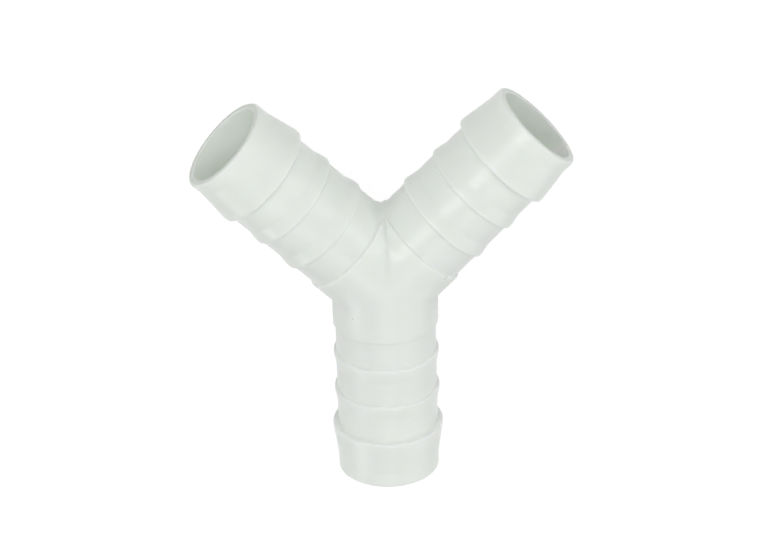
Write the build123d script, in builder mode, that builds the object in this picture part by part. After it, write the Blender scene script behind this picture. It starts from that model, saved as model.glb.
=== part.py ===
"""A hose Y connector: three ribbed hose tails moulded in one piece round a plain hub.

The connector lies flat on its three end barbs, with the origin under the middle of the space that
it takes up. The stem runs towards -Y and the two branches lean towards +Y, one on each side of
the plane X = 0. Their three centre lines lie level and meet at the middle of the hub.
"""

from build123d import *

import os
from math import atan2, cos, radians, sin, sqrt, tan

os.makedirs("parts", exist_ok=True)

# Driving dimensions, in millimetres and degrees

branch_angle = 90.0        # between the centre lines of the two branches
stem_length = 52.0         # from the middle of the hub to the stem's mouth
branch_length = 52.0       # from the middle of the hub to each branch's mouth
hose_bore = 25.0           # of the hose that is pushed over each tail
neck_slack = 1.0           # by which the plain necks are thinner than the hose's bore
nose_slack = 0.8           # by which the nose, on which a hose is started, is thinner than it
grip_stretch = 0.2         # by which the small grips are wider than it
collar_stretch = 0.2       # by which the collars round the hub are wider than it
barb_stretch = 1.5         # by which the end barb is wider than it
wall = 1.7                 # of the necks, and so the same bore in all three tails
collar_margin = 0.3        # by which the collars reach beyond the bottom of the crotch
grip_length = 3.7          # from a grip's shoulder to the foot of its slope
grip_pitch = 9.9           # from shoulder to shoulder, the end barb's included
barb_length = 8.8          # from the end barb's shoulder to the foot of its slope
nose_length = 3.6          # of the plain nose beyond the end barb
crest_width = 0.8          # the level band on top of each crest
crest_bevel = 0.15         # on both edges of each crest and on a collar's edge
rim_bevel = 0.35           # on a mouth's outer edge
bore_lead = 0.3            # chamfer on a mouth's inner edge
crotch_round = 3.0         # radius of the hollow between the two branches

# Worked out from them

neck_radius = (hose_bore - neck_slack) / 2
nose_radius = (hose_bore - nose_slack) / 2
grip_radius = (hose_bore + grip_stretch) / 2
collar_radius = (hose_bore + collar_stretch) / 2
barb_radius = (hose_bore + barb_stretch) / 2
bore_radius = neck_radius - wall
lean = radians(branch_angle / 2)                            # of each branch, from +Y
ball_reach = neck_radius + crotch_round                     # from a neck's axis to that of the hollow
hollow_end = ball_reach / tan(lean)                         # where the hollow leaves a branch's neck
collar_length = neck_radius / tan(lean) + collar_margin     # from the middle of the hub
branch_reach = max(
    branch_length * cos(lean) + (nose_radius - rim_bevel) * sin(lean),
    (branch_length - rim_bevel) * cos(lean) + nose_radius * sin(lean),
)
middle = Vector(0, (stem_length - branch_reach) / 2, max(barb_radius, grip_radius, collar_radius))

# Each tail's length and the way it points, in degrees from +X

tails = [
    (stem_length, -90),
    (branch_length, 90 - branch_angle / 2),
    (branch_length, 90 + branch_angle / 2),
]


def tail_plane(angle):
    """The plane across a tail's centre line at the middle of the hub, facing its mouth."""
    return Plane(origin=middle, x_dir=(0, 0, 1), z_dir=(cos(radians(angle)), sin(radians(angle)), 0))


def corners_at(sketch, radius, heights):
    """The corners of a tail's section at one radius, its x, and at any of the distances along it, its y."""
    return [
        corner
        for corner in sketch.vertices()
        if abs(corner.X - radius) < 1e-6 and any(abs(corner.Y - height) < 1e-6 for height in heights)
    ]


def hose_tail(length):
    """One solid hose tail along +Z, from the middle of the hub to its mouth.

    Its small grips are spaced back from the end barb, as many as fit before the hub.
    """
    barb_shoulder = length - nose_length - barb_length
    grip_count = int((barb_shoulder - max(collar_length, hollow_end)) / grip_pitch)
    grip_shoulders = [barb_shoulder - grip_pitch * step for step in range(grip_count, 0, -1)]
    outline = [(0, 0), (collar_radius, 0), (collar_radius, collar_length), (neck_radius, collar_length)]
    for shoulder in grip_shoulders:
        outline += [
            (neck_radius, shoulder),
            (grip_radius, shoulder),
            (grip_radius, shoulder + crest_width),
            (neck_radius, shoulder + grip_length),
        ]
    outline += [
        (neck_radius, barb_shoulder),
        (barb_radius, barb_shoulder),
        (barb_radius, barb_shoulder + crest_width),
        (nose_radius, barb_shoulder + barb_length),
        (nose_radius, length),
        (0, length),
    ]
    grip_crests = [shoulder + edge for shoulder in grip_shoulders for edge in (0, crest_width)]
    barb_crest = [barb_shoulder, barb_shoulder + crest_width]
    with BuildPart() as tail:
        with BuildSketch(Plane.XZ) as section:
            with BuildLine():
                Polyline(*outline, close=True)
            make_face()
            chamfer(corners_at(section, grip_radius, grip_crests), crest_bevel)
            chamfer(corners_at(section, barb_radius, barb_crest), crest_bevel)
            chamfer(corners_at(section, collar_radius, [collar_length]), crest_bevel)
            chamfer(corners_at(section, nose_radius, [length]), rim_bevel)
        revolve(axis=Axis.Z)
    return tail.part


def crotch_web():
    """The hollow that rounds the crotch, as a ball leaves it when it rolls down between the two necks.

    The ball's centre follows an ellipse in the plane X = 0, and the ball touches both necks on
    planes through the Z axis. It bites a little into them, so that the web's hollow face crosses
    theirs instead of lying along them. The web ends above and below inside the collars.
    """
    ball_bite = 0.04
    ellipse_reach = ball_reach / sin(lean)
    touch_angle = atan2(crotch_round * sin(lean) * cos(lean), ball_reach - crotch_round * sin(lean) ** 2)
    wedge_length = 2 * ellipse_reach
    wedge_corner = (wedge_length * tan(touch_angle), wedge_length)
    half_height = neck_radius * sqrt(1 - (neck_radius / ball_reach) ** 2)
    path_ends_short = 1.0
    with BuildPart() as web:
        with BuildSketch(Plane.YZ):
            Ellipse(ellipse_reach, ball_reach)
        extrude(amount=neck_radius, both=True)
        with BuildSketch(Plane.XY):
            with BuildLine():
                Polyline((0, 0), wedge_corner, (0, wedge_length), close=True)
            make_face()
            mirror(about=Plane.YZ)
        extrude(amount=half_height, both=True, mode=Mode.INTERSECT)
        with BuildLine(Plane.YZ):
            ball_path = EllipticalCenterArc(
                (0, 0),
                ellipse_reach,
                ball_reach,
                start_angle=path_ends_short - 90,
                arc_size=180 - 2 * path_ends_short,
            )
        with BuildSketch(Plane(origin=ball_path @ 0, z_dir=ball_path % 0)):
            Circle(crotch_round + ball_bite)
        sweep(path=ball_path, mode=Mode.SUBTRACT)
    return web.part


solid_tails = [(tail_plane(angle), hose_tail(length)) for length, angle in tails]
web = crotch_web()

with BuildPart() as y_connector:
    for plane, tail in solid_tails:
        with Locations(plane):
            add(tail)
    with Locations(middle):
        add(web)
    for length, angle in tails:
        with BuildSketch(tail_plane(angle)):
            Circle(bore_radius)
        extrude(amount=length, mode=Mode.SUBTRACT)
    circles = y_connector.edges().filter_by(GeomType.CIRCLE)
    chamfer(circles.filter_by(lambda edge: abs(edge.radius - bore_radius) < 1e-6), bore_lead)

y_connector.part.label = "y_connector"
export_step(y_connector.part, "parts/y_connector.step")
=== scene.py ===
"""The looks of a hose Y connector: three ribbed hose tails moulded in one piece of natural nylon.

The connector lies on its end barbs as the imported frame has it. One fine mesh stands for the CAD
node: three turned tails are mitred together at the hub, and the crotch between the two branches is
rounded out as a rolling ball leaves it. Lengths are in millimetres until the mesh is written.
"""

from __future__ import annotations

import logging
from dataclasses import dataclass, field
from enum import Enum
from math import cos, pi, radians, sin, sqrt
from typing import Sequence, Union

import bmesh
import bpy
from mathutils import Matrix, Vector


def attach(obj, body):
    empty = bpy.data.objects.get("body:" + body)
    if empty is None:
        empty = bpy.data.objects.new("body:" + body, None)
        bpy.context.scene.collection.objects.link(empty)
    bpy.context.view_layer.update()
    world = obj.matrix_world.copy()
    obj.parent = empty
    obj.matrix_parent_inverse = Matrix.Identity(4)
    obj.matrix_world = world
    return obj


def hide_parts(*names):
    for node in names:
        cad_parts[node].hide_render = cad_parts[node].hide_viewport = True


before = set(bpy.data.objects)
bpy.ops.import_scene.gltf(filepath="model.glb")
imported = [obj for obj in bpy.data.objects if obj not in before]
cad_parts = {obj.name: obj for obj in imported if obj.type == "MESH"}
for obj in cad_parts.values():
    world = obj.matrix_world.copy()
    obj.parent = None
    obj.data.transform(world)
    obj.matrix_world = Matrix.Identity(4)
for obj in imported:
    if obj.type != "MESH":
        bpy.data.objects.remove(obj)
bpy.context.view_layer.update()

logging.basicConfig(level=logging.INFO, format="%(message)s")
log = logging.getLogger("y_connector")

MM = 0.001                # a millimetre, in metres
SLACK = 1e-5              # by which two lengths that count as one may differ, in millimetres
NOISE_MIDDLE = 0.5        # the value that a noise pattern swings round

# A Mix node's sockets for colours go by number, because their names repeat
MIX_SHARE = 0
MIX_COLOURS = (6, 7)
MIX_RESULT = 2

Colour = tuple[float, float, float]
Place = tuple[float, float, float]
Span = tuple[float, float]


# ---------------------------------------------------------------- shader nodes


class Value:
    """A number in a shader, with the sums that are done on it written as plain arithmetic."""

    def __init__(self, bench: "Bench", socket: bpy.types.NodeSocket) -> None:
        """Wraps the output socket that carries the number."""
        self.bench = bench
        self.socket = socket

    def _sum(self, operation: str, *parts: Union["Value", float], clamp: bool = False) -> "Value":
        """One Math node.

        Args:
            operation: the node's operation.
            parts: its inputs in order, as numbers or values.
            clamp: whether the result is kept between 0 and 1.

        Returns:
            The node's result.
        """
        settings = {"operation": operation, "use_clamp": clamp}
        return self.bench.node("ShaderNodeMath", settings, dict(enumerate(parts)))["Value"]

    def __add__(self, other: Union["Value", float]) -> "Value":
        """The sum."""
        return self._sum("ADD", self, other)

    __radd__ = __add__

    def __sub__(self, other: Union["Value", float]) -> "Value":
        """The difference."""
        return self._sum("SUBTRACT", self, other)

    def __rsub__(self, other: Union["Value", float]) -> "Value":
        """The difference from a number."""
        return self._sum("SUBTRACT", other, self)

    def __mul__(self, other: Union["Value", float]) -> "Value":
        """The product."""
        return self._sum("MULTIPLY", self, other)

    __rmul__ = __mul__

    def above(self, low: float, high: float) -> "Value":
        """How far the number is between two others, from 0 at the low one to 1 at the high one."""
        return self._sum("MULTIPLY_ADD", self, 1 / (high - low), -low / (high - low), clamp=True)


class Made:
    """A shader node that has been made, with its outputs by name."""

    def __init__(self, bench: "Bench", node: bpy.types.Node) -> None:
        """Wraps the node."""
        self.bench = bench
        self.node = node

    def __getitem__(self, name: str) -> Value:
        """The output of that name."""
        return Value(self.bench, self.node.outputs[name])


class Bench:
    """Where one node tree is put together."""

    def __init__(self, tree: bpy.types.NodeTree) -> None:
        """Empties the tree."""
        self.tree = tree
        tree.nodes.clear()

    def node(
        self,
        kind: str,
        settings: dict[str, object] | None = None,
        inputs: dict[str | int, object] | None = None,
    ) -> Made:
        """Any node.

        Args:
            kind: the node's Blender type.
            settings: its properties, which are set first.
            inputs: its sockets by name or number, each a plain value or a link.

        Returns:
            The node that was made.
        """
        node = self.tree.nodes.new(kind)
        for name, setting in (settings or {}).items():
            setattr(node, name, setting)
        for name, given in (inputs or {}).items():
            socket = node.inputs[name]
            if isinstance(given, Value):
                self.tree.links.new(given.socket, socket)
            else:
                socket.default_value = given
        return Made(self, node)

    def blend(self, share: Value, first: Union[Value, Colour], second: Union[Value, Colour]) -> Value:
        """A colour between two.

        Args:
            share: 0 for the first and 1 for the second.
            first: a colour, or a link to one.
            second: another.

        Returns:
            The mixed colour.
        """
        mix = self.node("ShaderNodeMix", {"data_type": "RGBA"}, {MIX_SHARE: share})
        for index, given in zip(MIX_COLOURS, (first, second)):
            if isinstance(given, Value):
                self.tree.links.new(given.socket, mix.node.inputs[index])
            else:
                mix.node.inputs[index].default_value = (*given, 1.0)
        return Value(self, mix.node.outputs[MIX_RESULT])

    def open_view(self) -> Value:
        """Tells the rays that show the background from those that only carry its light.

        Returns:
            1 for the rays that show it, straight or by way of gloss or glass, and 0 for the rest.
        """
        ray = self.node("ShaderNodeLightPath")
        shown = ray["Is Camera Ray"] + ray["Is Glossy Ray"] + ray["Is Transmission Ray"]
        return shown.above(0.0, 1.0)

    def place(self) -> Value:
        """Where a point lies on the object, in metres."""
        return self.node("ShaderNodeTexCoord")["Object"]

    def noise(self, size: float, detail: float) -> Value:
        """A noise pattern on the object.

        Args:
            size: how wide one patch of it is, in millimetres.
            detail: how many finer patterns it carries.

        Returns:
            The pattern, round its middle value.
        """
        inputs = {"Vector": self.place(), "Scale": 1 / (size * MM), "Detail": detail}
        return self.node("ShaderNodeTexNoise", {"noise_dimensions": "3D"}, inputs)["Fac"]


# ------------------------------------------------------------------- finishes


class PaintedLightZone(Enum):
    """A part of a tail's skin where light or shade is painted into the colour, by the name of the attribute
    that marks it.
    """

    # The bore is painted lighter, the rim darker (painted shade) and the corners behind the shoulders
    # lighter
    BORE = "bore_painted_light_mask"
    RIM = "rim_painted_shade_mask"
    STEP = "step_painted_light_mask"


@dataclass(frozen=True)
class NaturalNylon:
    """Unpigmented nylon as it leaves the mould: milky, satin and a little translucent."""

    colour: Colour = (0.882, 0.938, 0.874)
    cloudy_colour: Colour = (0.868, 0.926, 0.860)
    # Painted light and shade: the bore is painted lighter and the mouth's rim darker, for light that passes
    # through the nylon, and the corners behind the shoulders are painted lighter against the shade there
    painted_bore_light: Colour = (0.950, 0.985, 0.942)
    painted_rim_shade: Colour = (0.715, 0.757, 0.705)
    painted_step_light: Colour = (0.905, 0.962, 0.897)
    speck_colour: Colour = (0.45, 0.46, 0.40)
    roughness: float = 0.30
    roughness_swing: float = 0.10
    refraction: float = 1.53
    sheen: float = 0.4
    depth_of_glow: float = 1.5
    glow: float = 1.0
    glow_tint: Colour = (1.0, 1.0, 0.9)
    cloud_size: float = 9.0
    cloud_span: Span = (0.35, 0.65)
    speck_size: float = 0.9
    speck_span: Span = (0.912, 0.93)
    speck_share: float = 0.5
    gloss_size: float = 2.5
    skin_grain: float = 0.35
    skin_height: float = 0.006
    ripple_size: float = 5.0
    ripple_height: float = 0.03

    def material(self) -> bpy.types.Material:
        """Mixes the material.

        Returns:
            A material for the whole moulding.
        """
        material = bpy.data.materials.new("milky_nylon")
        material.use_nodes = True
        bench = Bench(material.node_tree)
        clouds = bench.noise(self.cloud_size, detail=3.0).above(*self.cloud_span)
        specks = bench.noise(self.speck_size, detail=0.0).above(*self.speck_span)
        colour = bench.blend(clouds, self.colour, self.cloudy_colour)
        colour = bench.blend(specks * self.speck_share, colour, self.speck_colour)
        # Painted light and shade over the nylon's own colour: a lighter bore, a darker rim and lighter
        # corners behind the shoulders
        painted_tones = {PaintedLightZone.BORE: self.painted_bore_light, PaintedLightZone.RIM: self.painted_rim_shade, PaintedLightZone.STEP: self.painted_step_light}
        for zone, tone in painted_tones.items():
            share = bench.node("ShaderNodeAttribute", {"attribute_name": zone.value})["Fac"]
            colour = bench.blend(share, colour, tone)
        grain = bench.noise(self.skin_grain, detail=2.0)
        ripple = bench.noise(self.ripple_size, detail=1.0)
        patches = bench.noise(self.gloss_size, detail=3.0)
        gloss = self.roughness + (patches - NOISE_MIDDLE) * self.roughness_swing
        skin = grain * (self.skin_height * MM) + ripple * (self.ripple_height * MM)
        bump = bench.node("ShaderNodeBump", None, {"Strength": 1.0, "Distance": 1.0, "Height": skin})
        shader = bench.node(
            "ShaderNodeBsdfPrincipled",
            {"subsurface_method": "RANDOM_WALK"},
            {
                "Base Color": colour,
                "Roughness": gloss,
                "IOR": self.refraction,
                "Specular IOR Level": self.sheen,
                "Subsurface Weight": self.glow,
                "Subsurface Radius": self.glow_tint,
                "Subsurface Scale": self.depth_of_glow * MM,
                "Normal": bump["Normal"],
            },
        )
        bench.node("ShaderNodeOutputMaterial", None, {"Surface": shader["BSDF"]})
        return material


@dataclass(frozen=True)
class StudioPaper:
    """The pale floor, which shows white to the camera and keeps the object's shadow, though faintly."""

    colour: Colour = (0.68, 0.68, 0.68)
    whiteness: float = 1.17
    share: float = 0.8

    def material(self) -> bpy.types.Material:
        """Mixes the material.

        Returns:
            A material for the floor.
        """
        material = bpy.data.materials.new("studio_paper")
        material.use_nodes = True
        bench = Bench(material.node_tree)
        seen = bench.open_view()
        paper = bench.node("ShaderNodeBsdfDiffuse", None, {"Color": (*self.colour, 1.0)})
        light = bench.node("ShaderNodeEmission", None, {"Strength": self.whiteness})
        inputs = (seen * self.share, paper["BSDF"], light["Emission"])
        both = bench.node("ShaderNodeMixShader", None, dict(enumerate(inputs)))
        bench.node("ShaderNodeOutputMaterial", None, {"Surface": both["Shader"]})
        return material


# --------------------------------------------------------------- the moulding


class Way(Enum):
    """The way a tail points from the hub, in degrees from +X."""

    STEM = -90.0
    RIGHT_BRANCH = 45.0
    LEFT_BRANCH = 135.0

    @property
    def direction(self) -> Vector:
        """The tail's centre line, away from the hub."""
        return Vector((cos(radians(self.value)), sin(radians(self.value)), 0.0))

    @property
    def turn_from_y(self) -> float:
        """The turn that brings +Y round to the tail, in radians."""
        return radians(self.value - 90.0)


@dataclass(frozen=True)
class Corner:
    """One corner of a tail's half section, with the round on it."""

    radius: float
    along: float
    rounding: float = 0.0


@dataclass(frozen=True)
class HoseTail:
    """One hose tail: bore, mouth, nose, end barb, small grips, neck and the collar at the hub."""

    length: float = 52.0
    bore_radius: float = 10.3
    neck_radius: float = 12.0
    collar_radius: float = 12.6
    collar_length: float = 12.3
    grip_radius: float = 12.6
    grip_length: float = 3.7
    grip_pitch: float = 9.9
    grip_count: int = 2
    barb_radius: float = 13.25
    barb_length: float = 8.8
    nose_radius: float = 12.1
    nose_length: float = 3.6
    crest_width: float = 0.8
    crest_round: float = 0.26
    foot_round: float = 0.3
    rim_round: float = 0.6
    bore_lead: float = 0.3
    # How much of the painted light the collar's corner takes, and how far the painted light reaches from
    # each shoulder, as a share of the foot's round
    collar_painted_light_share: float = 0.6
    painted_step_reach: float = 0.8
    past_hub: float = 1.0
    hollow_start: float = 9.4
    hollow_end: float = 16.2
    ring_gap: float = 0.2
    round_steps: int = 3
    turns: int = 144

    @property
    def barb_shoulder(self) -> float:
        """Where the end barb's shoulder stands along the tail."""
        return self.length - self.nose_length - self.barb_length

    def shoulders(self) -> dict[float, float]:
        """Where the shoulders stand along the tail, and how much of the painted light in the corners behind
        them each one takes.

        Returns:
            The end barb's and the small grips' in full, and the collar's in part.
        """
        steps = {self.barb_shoulder - step * self.grip_pitch: 1.0 for step in range(self.grip_count + 1)}
        return steps | {self.collar_length: self.collar_painted_light_share}

    def corners(self) -> list[Corner]:
        """The half section's corners.

        Returns:
            Them in order, from the bore at the hub round the mouth and back to the hub.
        """
        outline = [
            Corner(self.bore_radius, -self.past_hub),
            Corner(self.bore_radius, self.length, self.bore_lead),
            Corner(self.nose_radius, self.length, self.rim_round),
            Corner(self.nose_radius, self.barb_shoulder + self.barb_length, self.crest_round),
            Corner(self.barb_radius, self.barb_shoulder + self.crest_width, self.crest_round),
            Corner(self.barb_radius, self.barb_shoulder, self.crest_round),
            Corner(self.neck_radius, self.barb_shoulder, self.foot_round),
        ]
        for step in range(1, self.grip_count + 1):
            shoulder = self.barb_shoulder - step * self.grip_pitch
            outline += [
                Corner(self.neck_radius, shoulder + self.grip_length, self.crest_round),
                Corner(self.grip_radius, shoulder + self.crest_width, self.crest_round),
                Corner(self.grip_radius, shoulder, self.crest_round),
                Corner(self.neck_radius, shoulder, self.foot_round),
            ]
        return outline + [
            Corner(self.neck_radius, self.collar_length, self.foot_round),
            Corner(self.collar_radius, self.collar_length, self.crest_round),
            Corner(self.collar_radius, -self.past_hub),
        ]

    def _draw(self, mesh: bmesh.types.BMesh) -> None:
        """Draws the half section over +Y, as a chain of edges with every corner rounded.

        Args:
            mesh: the empty mesh that it is drawn in.
        """
        corners = self.corners()
        first, *rest = corners
        tip = mesh.verts.new((0.0, first.along, first.radius))
        for corner in rest:
            tip = bmesh.ops.extrude_vert_indiv(mesh, verts=[tip])["verts"][0]
            tip.co = (0.0, corner.along, corner.radius)
        for size in sorted({corner.rounding for corner in corners if corner.rounding}):
            chosen = [
                vert
                for vert in mesh.verts
                for corner in corners
                if corner.rounding == size
                and abs(vert.co.y - corner.along) < SLACK
                and abs(vert.co.z - corner.radius) < SLACK
            ]
            bmesh.ops.bevel(
                mesh,
                geom=chosen,
                offset=size,
                offset_type="OFFSET",
                segments=self.round_steps,
                profile=0.5,
                affect="VERTICES",
                material=-1,
                clamp_overlap=True,
            )

    def _ring(self, mesh: bmesh.types.BMesh) -> None:
        """Cuts the half section closely near the crotch, where the hollow is worked in.

        Args:
            mesh: the half section, which the cuts turn into close rings when it is spun.
        """
        steps = round((self.hollow_end - self.hollow_start) / self.ring_gap)
        for step in range(steps + 1):
            bmesh.ops.bisect_plane(
                mesh,
                geom=mesh.verts[:] + mesh.edges[:] + mesh.faces[:],
                dist=SLACK,
                plane_co=(0, self.hollow_start + step * self.ring_gap, 0),
                plane_no=(0, 1, 0),
            )

    def _mark(self, mesh: bmesh.types.BMesh) -> None:
        """Marks where light and shade are painted: the bore, painted lighter; the mouth's flat rim, painted
        darker; and the inner corners behind the shoulders, painted lighter against the shade there.

        Args:
            mesh: the tail, along +Y.
        """
        marks = {zone: mesh.verts.layers.float.new(zone.value) for zone in PaintedLightZone}
        for vert in mesh.verts:
            out = Vector((vert.co.x, vert.co.z)).length
            in_bore = out < self.bore_radius + SLACK
            on_skin = out > self.neck_radius - SLACK
            # The painted light in the corners behind the shoulders, in full at the grips and the barb and in
            # part at the collar
            step = max(
                share if abs(vert.co.y - shoulder) < self.foot_round * self.painted_step_reach else 0.0
                for shoulder, share in self.shoulders().items()
            )
            vert[marks[PaintedLightZone.BORE]] = float(in_bore)
            vert[marks[PaintedLightZone.RIM]] = float(not in_bore and vert.co.y > self.length - SLACK)
            vert[marks[PaintedLightZone.STEP]] = step * on_skin

    def turn(self, way: Way, between: Sequence[Way]) -> bmesh.types.BMesh:
        """Turns the tail on its axis and cuts it to its share of the hub.

        Args:
            way: the way it points.
            between: the other tails, to which it is mitred.

        Returns:
            Its mesh, round the middle of the hub.
        """
        mesh = bmesh.new()
        self._draw(mesh)
        if way is not Way.STEM:
            self._ring(mesh)
        bmesh.ops.spin(
            mesh,
            geom=mesh.verts[:] + mesh.edges[:],
            cent=(0, 0, 0),
            axis=(0, 1, 0),
            angle=2 * pi,
            steps=self.turns,
            use_merge=True,
        )
        self._mark(mesh)
        heading = Matrix.Rotation(way.turn_from_y, 4, "Z")
        bmesh.ops.transform(mesh, matrix=heading, verts=mesh.verts[:])
        for other in between:
            bmesh.ops.bisect_plane(
                mesh,
                geom=mesh.verts[:] + mesh.edges[:] + mesh.faces[:],
                dist=SLACK,
                plane_co=(0, 0, 0),
                plane_no=other.direction - way.direction,
                clear_outer=True,
            )
        return mesh


@dataclass(frozen=True)
class CrotchHollow:
    """The hollow that a ball leaves when it rolls down between the necks of the two branches."""

    neck_radius: float = 12.0
    bore_radius: float = 10.3
    ball_radius: float = 3.0
    lean: float = radians(45.0)
    top_share: float = 0.75
    tries: int = 40

    @property
    def reach(self) -> float:
        """From a neck's axis to the ball's middle."""
        return self.neck_radius + self.ball_radius

    @property
    def touch(self) -> float:
        """The slope, from +Y, of the upright planes in which the ball touches the necks."""
        across = self.ball_radius * sin(self.lean) * cos(self.lean)
        return across / (self.reach - self.ball_radius * sin(self.lean) ** 2)

    def floor_at(self, x: float, z: float) -> float:
        """Where the hollow's floor lies.

        Args:
            x: distance from the plane between the branches.
            z: height from the level middle plane.

        Returns:
            Its distance from the middle of the hub along +Y.
        """
        long_way, short_way = self.reach / sin(self.lean), self.reach
        depth = sqrt(max(self.ball_radius**2 - x**2, 0.0))
        low, high = 0.0, pi / 2
        for _ in range(self.tries):
            angle = (low + high) / 2
            slant = sqrt((short_way * cos(angle)) ** 2 + (long_way * sin(angle)) ** 2)
            height = (short_way - depth * long_way / slant) * sin(angle)
            low, high = (angle, high) if height < abs(z) else (low, angle)
        return (long_way - depth * short_way / slant) * cos(angle)

    def work_into(self, mesh: bmesh.types.BMesh) -> int:
        """Moves what lies below the hollow's floor out to it.

        Args:
            mesh: the moulding, round the middle of the hub.

        Returns:
            How many of its points were moved.
        """
        moved = 0
        for vert in mesh.verts:
            x, y, z = vert.co
            from_axis = Vector((y * sin(self.lean) - abs(x) * cos(self.lean), z)).length
            on_skin = from_axis > (self.bore_radius + self.neck_radius) / 2
            in_wedge = y > 0 and abs(x) < min(self.touch * y, self.ball_radius)
            if not (on_skin and in_wedge and abs(z) < self.neck_radius * self.top_share):
                continue
            level = self.floor_at(x, z)
            if y < level:
                vert.co.y = level
                moved += 1
        return moved


@dataclass
class YConnector:
    """The whole moulding."""

    name: str = "nylon_y_connector"
    weld_gap: float = 0.002
    middle: Vector = field(default_factory=lambda: Vector((0.0, 3.461, 13.25)))
    tail: HoseTail = field(default_factory=HoseTail)
    hollow: CrotchHollow = field(default_factory=CrotchHollow)
    finish: NaturalNylon = field(default_factory=NaturalNylon)

    def build(self) -> bpy.types.Object:
        """Builds the moulding in its place on the floor.

        Returns:
            The finished piece.
        """
        whole = bmesh.new()
        for way in Way:
            part = self.tail.turn(way, [other for other in Way if other is not way])
            loose = bpy.data.meshes.new("loose_tail")
            part.to_mesh(loose)
            part.free()
            whole.from_mesh(loose)
            bpy.data.meshes.remove(loose)
        bmesh.ops.remove_doubles(whole, verts=whole.verts[:], dist=self.weld_gap)
        moved = self.hollow.work_into(whole)
        bmesh.ops.recalc_face_normals(whole, faces=whole.faces[:])
        bmesh.ops.translate(whole, vec=self.middle, verts=whole.verts[:])
        bmesh.ops.scale(whole, vec=(MM, MM, MM), verts=whole.verts[:])
        open_edges = sum(not edge.is_manifold for edge in whole.edges)
        log.info("hollow: %d points moved; open edges: %d", moved, open_edges)
        for face in whole.faces:
            face.smooth = True
        data = bpy.data.meshes.new(self.name)
        whole.to_mesh(data)
        whole.free()
        piece = bpy.data.objects.new(self.name, data)
        bpy.context.scene.collection.objects.link(piece)
        even = piece.modifiers.new("even_normals", "WEIGHTED_NORMAL")
        even.mode = "FACE_AREA"
        even.keep_sharp = True
        return piece

    def dress(self, piece: bpy.types.Object) -> None:
        """Gives the piece its finish and its place in the frame.

        Args:
            piece: the finished moulding.
        """
        piece.data.materials.append(self.finish.material())
        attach(piece, "root")
        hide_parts("y_connector")


# ------------------------------------------------------------------ the studio


@dataclass(frozen=True)
class Lamp:
    """One round soft lamp, which faces the object."""

    name: str
    turn: float
    height: float
    power: float
    size: float = 0.45
    distance: float = 1.0

    def hang(self, target: Vector) -> None:
        """Hangs the lamp.

        Args:
            target: the point that it faces, in metres.
        """
        data = bpy.data.lights.new(self.name, "AREA")
        data.shape = "DISK"
        data.size = self.size
        data.energy = self.power
        turn, height = radians(self.turn), radians(self.height)
        way = Vector((cos(turn) * cos(height), sin(turn) * cos(height), sin(height)))
        lamp = bpy.data.objects.new(self.name, data)
        lamp.location = target + way * self.distance
        lamp.rotation_euler = (-way).to_track_quat("-Z", "Y").to_euler()
        bpy.context.scene.collection.objects.link(lamp)


@dataclass(frozen=True)
class Studio:
    """Floor, lamps, sky and camera."""

    floor_size: float = 6.0
    paper: StudioPaper = field(default_factory=StudioPaper)
    sky: float = 0.23
    lamps: tuple[Lamp, ...] = (
        Lamp("key", 150.0, 62.0, 2.2),
        Lamp("right", 0.0, 35.0, 2.4),
        Lamp("front", 90.0, 35.0, 1.9),
        Lamp("gleam", 59.0, 29.0, 0.3, size=0.14),
        Lamp("left", 180.0, 35.0, 1.3),
        Lamp("low_left", 225.0, 12.0, 1.1),
        Lamp("low_right", 315.0, 12.0, 0.6),
        Lamp("back", 270.0, 62.0, 0.55),
        Lamp("back_right", 315.0, 35.0, 0.45),
    )
    lamp_target: Place = (0.0, 0.0, 0.013)
    camera_place: Place = (-0.06695, 0.44096, 0.8272)
    camera_right: Place = (0.9954, -0.0231, 0.0930)
    camera_up: Place = (0.0642, 0.8815, -0.4679)
    lens: float = 185.0
    sensor: float = 36.0
    far_end: float = 20.0

    def set_up(self) -> None:
        """Makes all of it."""
        mesh = bmesh.new()
        bmesh.ops.create_grid(mesh, x_segments=1, y_segments=1, size=self.floor_size / 2)
        data = bpy.data.meshes.new("studio_floor")
        mesh.to_mesh(data)
        mesh.free()
        floor = bpy.data.objects.new("studio_floor", data)
        bpy.context.scene.collection.objects.link(floor)
        floor.data.materials.append(self.paper.material())
        for lamp in self.lamps:
            lamp.hang(Vector(self.lamp_target))
        world = bpy.data.worlds.new("studio")
        bpy.context.scene.world = world
        world.use_nodes = True
        bench = Bench(world.node_tree)
        seen = bench.open_view()
        strength = seen + (1.0 - seen) * self.sky
        sky = bench.node("ShaderNodeBackground", None, {"Color": (1.0, 1.0, 1.0, 1.0), "Strength": strength})
        bench.node("ShaderNodeOutputWorld", None, {"Surface": sky["Background"]})
        self._aim()
        bpy.context.scene.view_settings.view_transform = "Standard"

    def _aim(self) -> None:
        """Places and turns the camera."""
        data = bpy.data.cameras.new("camera")
        data.sensor_width = self.sensor
        data.lens = self.lens
        data.clip_end = self.far_end
        camera = bpy.data.objects.new("camera", data)
        bpy.context.scene.collection.objects.link(camera)
        right = Vector(self.camera_right).normalized()
        up = Vector(self.camera_up)
        up = (up - right * up.dot(right)).normalized()
        turned = Matrix((right, up, right.cross(up))).transposed().to_4x4()
        camera.matrix_world = Matrix.Translation(self.camera_place) @ turned
        bpy.context.scene.camera = camera


def main() -> None:
    """Builds the connector and the studio."""
    connector = YConnector()
    piece = connector.build()
    connector.dress(piece)
    log.info("%s: %d points, %d faces", piece.name, len(piece.data.vertices), len(piece.data.polygons))
    Studio().set_up()


if __name__ == "__main__":
    main()
